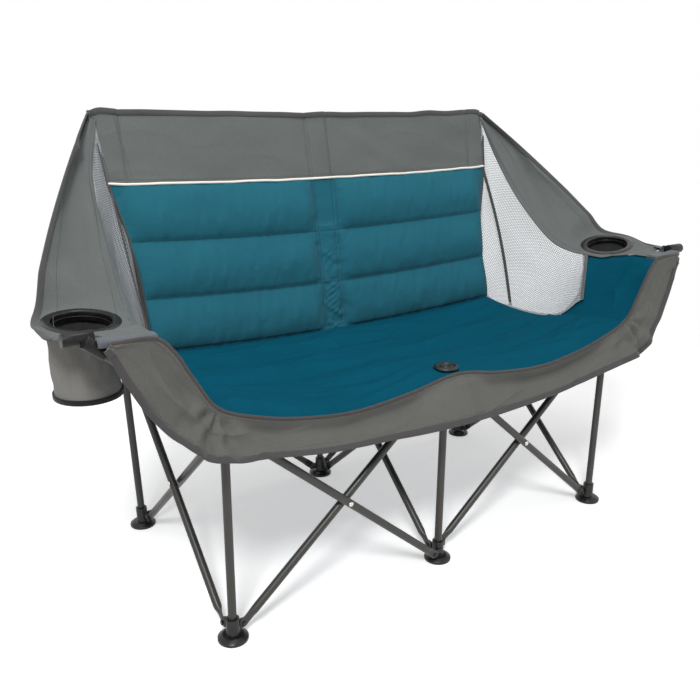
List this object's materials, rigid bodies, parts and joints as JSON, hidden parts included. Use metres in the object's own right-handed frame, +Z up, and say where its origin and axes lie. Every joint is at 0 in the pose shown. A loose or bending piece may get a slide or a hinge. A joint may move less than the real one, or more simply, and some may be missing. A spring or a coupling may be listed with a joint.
{
  "type": "folding camping loveseat",
  "caption": "Two-person folding camp chair on a scissor tube frame, with a padded seat and back, side wings, mesh panels and a cup holder in each arm.",
  "frame": {"origin": "middle of the bounding box, on the floor", "axes": "+X along the width, to the right seen from the front; +Y from the front to the back; +Z up"},
  "size_m": [1.5014, 0.6118, 0.9366],
  "materials": {
    "tube_metal": "satin gunmetal",
    "black_plastic": "moulded",
    "rivet_metal": "plain",
    "teal_fabric": "padded woven",
    "grey_fabric": "plain woven",
    "mesh_fabric": "open mesh"
  },
  "bodies": {
    "front_center": {"foot_front_center": "black_plastic", "post_front_center": "tube_metal"},
    "front_left": {"foot_front_left": "black_plastic", "post_front_left": "tube_metal", "wing_left": "grey_fabric", "mesh_left": "mesh_fabric", "lining_left": "teal_fabric", "cup_ring_left": "black_plastic", "cup_pouch_left": "grey_fabric"},
    "front_right": {"foot_front_right": "black_plastic", "post_front_right": "tube_metal", "wing_right": "grey_fabric", "mesh_right": "mesh_fabric", "lining_right": "teal_fabric", "cup_ring_right": "black_plastic", "cup_pouch_right": "grey_fabric"},
    "rear_center": {"foot_rear_center": "black_plastic", "post_rear_center": "tube_metal", "post_plug_center": "black_plastic", "back_pad": "teal_fabric", "back_band": "grey_fabric"},
    "rear_left": {"foot_rear_left": "black_plastic", "post_rear_left": "tube_metal", "post_plug_left": "black_plastic"},
    "rear_right": {"foot_rear_right": "black_plastic", "post_rear_right": "tube_metal", "post_plug_right": "black_plastic"},
    "hub_left": {"hub_front_left": "black_plastic"},
    "hub_center": {"hub_front_center": "black_plastic", "seat_button": "black_plastic", "front_skirt": "grey_fabric"},
    "hub_right": {"hub_front_right": "black_plastic"},
    "collar_left": {"collar_rear_left": "black_plastic"},
    "collar_center": {"collar_rear_center": "black_plastic"},
    "collar_right": {"collar_rear_right": "black_plastic"},
    "front_left_long": {"front_left_long_tube": "tube_metal", "arm_tip_left": "black_plastic", "rivet_front_left": "rivet_metal"},
    "front_left_short": {"front_left_short_tube": "tube_metal"},
    "front_right_long": {"front_right_long_tube": "tube_metal", "arm_tip_right": "black_plastic", "rivet_front_right": "rivet_metal"},
    "front_right_short": {"front_right_short_tube": "tube_metal"},
    "rear_left_outward": {"rear_left_outward_tube": "tube_metal", "rivet_rear_left": "rivet_metal"},
    "rear_left_inward": {"rear_left_inward_tube": "tube_metal"},
    "rear_right_outward": {"rear_right_outward_tube": "tube_metal", "rivet_rear_right": "rivet_metal"},
    "rear_right_inward": {"rear_right_inward_tube": "tube_metal"},
    "side_left_rearward": {"side_left_rearward_tube": "tube_metal", "rivet_side_left": "rivet_metal"},
    "side_left_forward": {"side_left_forward_tube": "tube_metal"},
    "side_right_rearward": {"side_right_rearward_tube": "tube_metal", "rivet_side_right": "rivet_metal"},
    "side_right_forward": {"side_right_forward_tube": "tube_metal"},
    "middle_rearward": {"middle_rearward_tube": "tube_metal", "rivet_middle": "rivet_metal"},
    "middle_forward": {"middle_forward_tube": "tube_metal"},
    "seat": {"seat_pad": "teal_fabric"}
  },
  "joints": [
    {"name": "fold", "type": "hinge", "parent": "front_center", "child": "front_left_long", "pos_m": [-0.022, -0.2394, 0.024], "axis": [0, 1, 0], "range_deg": [0, 46.5], "deforming": ["seat_pad", "back_pad", "back_band", "front_skirt", "wing_left", "wing_right", "mesh_left", "mesh_right", "lining_left", "lining_right"]},
    {"name": "front_left_cross", "type": "hinge", "parent": "front_left_long", "child": "front_left_short", "pos_m": [-0.245, -0.2224, 0.216], "axis": [0, 1, 0], "range_deg": [-93, 0]},
    {"name": "front_left_foot_pin", "type": "hinge", "parent": "front_left_short", "child": "front_left", "pos_m": [-0.468, -0.2224, 0.024], "axis": [0, 1, 0], "range_deg": [0, 46.5]},
    {"name": "front_left_hub_pin", "type": "hinge", "parent": "front_left_long", "child": "hub_left", "pos_m": [-0.468, -0.2394, 0.408], "axis": [0, 1, 0], "range_deg": [-46.5, 0]},
    {"name": "front_center_hub_pin", "type": "hinge", "parent": "front_left_short", "child": "hub_center", "pos_m": [-0.022, -0.2224, 0.408], "axis": [0, 1, 0], "range_deg": [0, 46.5]},
    {"name": "front_right_long_pin", "type": "hinge", "parent": "front_center", "child": "front_right_long", "pos_m": [0.022, -0.2054, 0.024], "axis": [0, 1, 0], "range_deg": [-46.5, 0]},
    {"name": "front_right_cross", "type": "hinge", "parent": "front_right_long", "child": "front_right_short", "pos_m": [0.245, -0.2224, 0.216], "axis": [0, 1, 0], "range_deg": [0, 93]},
    {"name": "front_right_foot_pin", "type": "hinge", "parent": "front_right_short", "child": "front_right", "pos_m": [0.468, -0.2224, 0.024], "axis": [0, 1, 0], "range_deg": [-46.5, 0]},
    {"name": "front_right_hub_pin", "type": "hinge", "parent": "front_right_long", "child": "hub_right", "pos_m": [0.468, -0.2054, 0.408], "axis": [0, 1, 0], "range_deg": [0, 46.5]},
    {"name": "middle_pin", "type": "hinge", "parent": "front_center", "child": "middle_rearward", "pos_m": [-0.0085, -0.2004, 0.024], "axis": [1, 0, 0], "range_deg": [0, 46.5]},
    {"name": "middle_cross", "type": "hinge", "parent": "middle_rearward", "child": "middle_forward", "pos_m": [0.0085, 0.0226, 0.216], "axis": [1, 0, 0], "range_deg": [-93, 0]},
    {"name": "rear_center_foot_pin", "type": "hinge", "parent": "middle_forward", "child": "rear_center", "pos_m": [0.0085, 0.2456, 0.024], "axis": [1, 0, 0], "range_deg": [0, 46.5]},
    {"name": "rear_center_collar_pin", "type": "hinge", "parent": "middle_rearward", "child": "collar_center", "pos_m": [-0.0085, 0.2456, 0.408], "axis": [1, 0, 0], "range_deg": [-46.5, 0]},
    {"name": "rear_left_pin", "type": "hinge", "parent": "rear_center", "child": "rear_left_outward", "pos_m": [-0.022, 0.2761, 0.024], "axis": [0, 1, 0], "range_deg": [0, 46.5]},
    {"name": "rear_left_cross", "type": "hinge", "parent": "rear_left_outward", "child": "rear_left_inward", "pos_m": [-0.245, 0.2591, 0.216], "axis": [0, 1, 0], "range_deg": [-93, 0]},
    {"name": "rear_left_foot_pin", "type": "hinge", "parent": "rear_left_inward", "child": "rear_left", "pos_m": [-0.468, 0.2591, 0.024], "axis": [0, 1, 0], "range_deg": [0, 46.5]},
    {"name": "rear_left_collar_pin", "type": "hinge", "parent": "rear_left_outward", "child": "collar_left", "pos_m": [-0.468, 0.2761, 0.408], "axis": [0, 1, 0], "range_deg": [-46.5, 0]},
    {"name": "rear_right_pin", "type": "hinge", "parent": "rear_center", "child": "rear_right_outward", "pos_m": [0.022, 0.2761, 0.024], "axis": [0, 1, 0], "range_deg": [-46.5, 0]},
    {"name": "rear_right_cross", "type": "hinge", "parent": "rear_right_outward", "child": "rear_right_inward", "pos_m": [0.245, 0.2591, 0.216], "axis": [0, 1, 0], "range_deg": [0, 93]},
    {"name": "rear_right_foot_pin", "type": "hinge", "parent": "rear_right_inward", "child": "rear_right", "pos_m": [0.468, 0.2591, 0.024], "axis": [0, 1, 0], "range_deg": [-46.5, 0]},
    {"name": "rear_right_collar_pin", "type": "hinge", "parent": "rear_right_outward", "child": "collar_right", "pos_m": [0.468, 0.2761, 0.408], "axis": [0, 1, 0], "range_deg": [0, 46.5]},
    {"name": "side_left_pin", "type": "hinge", "parent": "front_left", "child": "side_left_rearward", "pos_m": [-0.4985, -0.2004, 0.024], "axis": [1, 0, 0], "range_deg": [0, 46.5]},
    {"name": "side_left_cross", "type": "hinge", "parent": "side_left_rearward", "child": "side_left_forward", "pos_m": [-0.4815, 0.0226, 0.216], "axis": [1, 0, 0], "range_deg": [-93, 0]},
    {"name": "side_right_pin", "type": "hinge", "parent": "front_right", "child": "side_right_rearward", "pos_m": [0.4815, -0.2004, 0.024], "axis": [1, 0, 0], "range_deg": [0, 46.5]},
    {"name": "side_right_cross", "type": "hinge", "parent": "side_right_rearward", "child": "side_right_forward", "pos_m": [0.4985, 0.0226, 0.216], "axis": [1, 0, 0], "range_deg": [-93, 0]},
    {"name": "seat_fold", "type": "hinge", "parent": "rear_center", "child": "seat", "pos_m": [0, 0.1926, 0.424], "axis": [1, 0, 0], "range_deg": [-82, 0]}
  ],
  "couplings": [
    {"joint": "front_left_cross", "follows": "fold", "ratio": -2},
    {"joint": "front_left_foot_pin", "follows": "fold", "ratio": 1},
    {"joint": "front_left_hub_pin", "follows": "fold", "ratio": -1},
    {"joint": "front_center_hub_pin", "follows": "fold", "ratio": 1},
    {"joint": "front_right_long_pin", "follows": "fold", "ratio": -1},
    {"joint": "front_right_cross", "follows": "fold", "ratio": 2},
    {"joint": "front_right_foot_pin", "follows": "fold", "ratio": -1},
    {"joint": "front_right_hub_pin", "follows": "fold", "ratio": 1},
    {"joint": "middle_pin", "follows": "fold", "ratio": 1},
    {"joint": "middle_cross", "follows": "fold", "ratio": -2},
    {"joint": "rear_center_foot_pin", "follows": "fold", "ratio": 1},
    {"joint": "rear_center_collar_pin", "follows": "fold", "ratio": -1},
    {"joint": "rear_left_pin", "follows": "fold", "ratio": 1},
    {"joint": "rear_left_cross", "follows": "fold", "ratio": -2},
    {"joint": "rear_left_foot_pin", "follows": "fold", "ratio": 1},
    {"joint": "rear_left_collar_pin", "follows": "fold", "ratio": -1},
    {"joint": "rear_right_pin", "follows": "fold", "ratio": -1},
    {"joint": "rear_right_cross", "follows": "fold", "ratio": 2},
    {"joint": "rear_right_foot_pin", "follows": "fold", "ratio": -1},
    {"joint": "rear_right_collar_pin", "follows": "fold", "ratio": 1},
    {"joint": "side_left_pin", "follows": "fold", "ratio": 1},
    {"joint": "side_left_cross", "follows": "fold", "ratio": -2},
    {"joint": "side_right_pin", "follows": "fold", "ratio": 1},
    {"joint": "side_right_cross", "follows": "fold", "ratio": -2},
    {"joint": "seat_fold", "follows": "fold", "ratio": -1.7634}
  ]
}
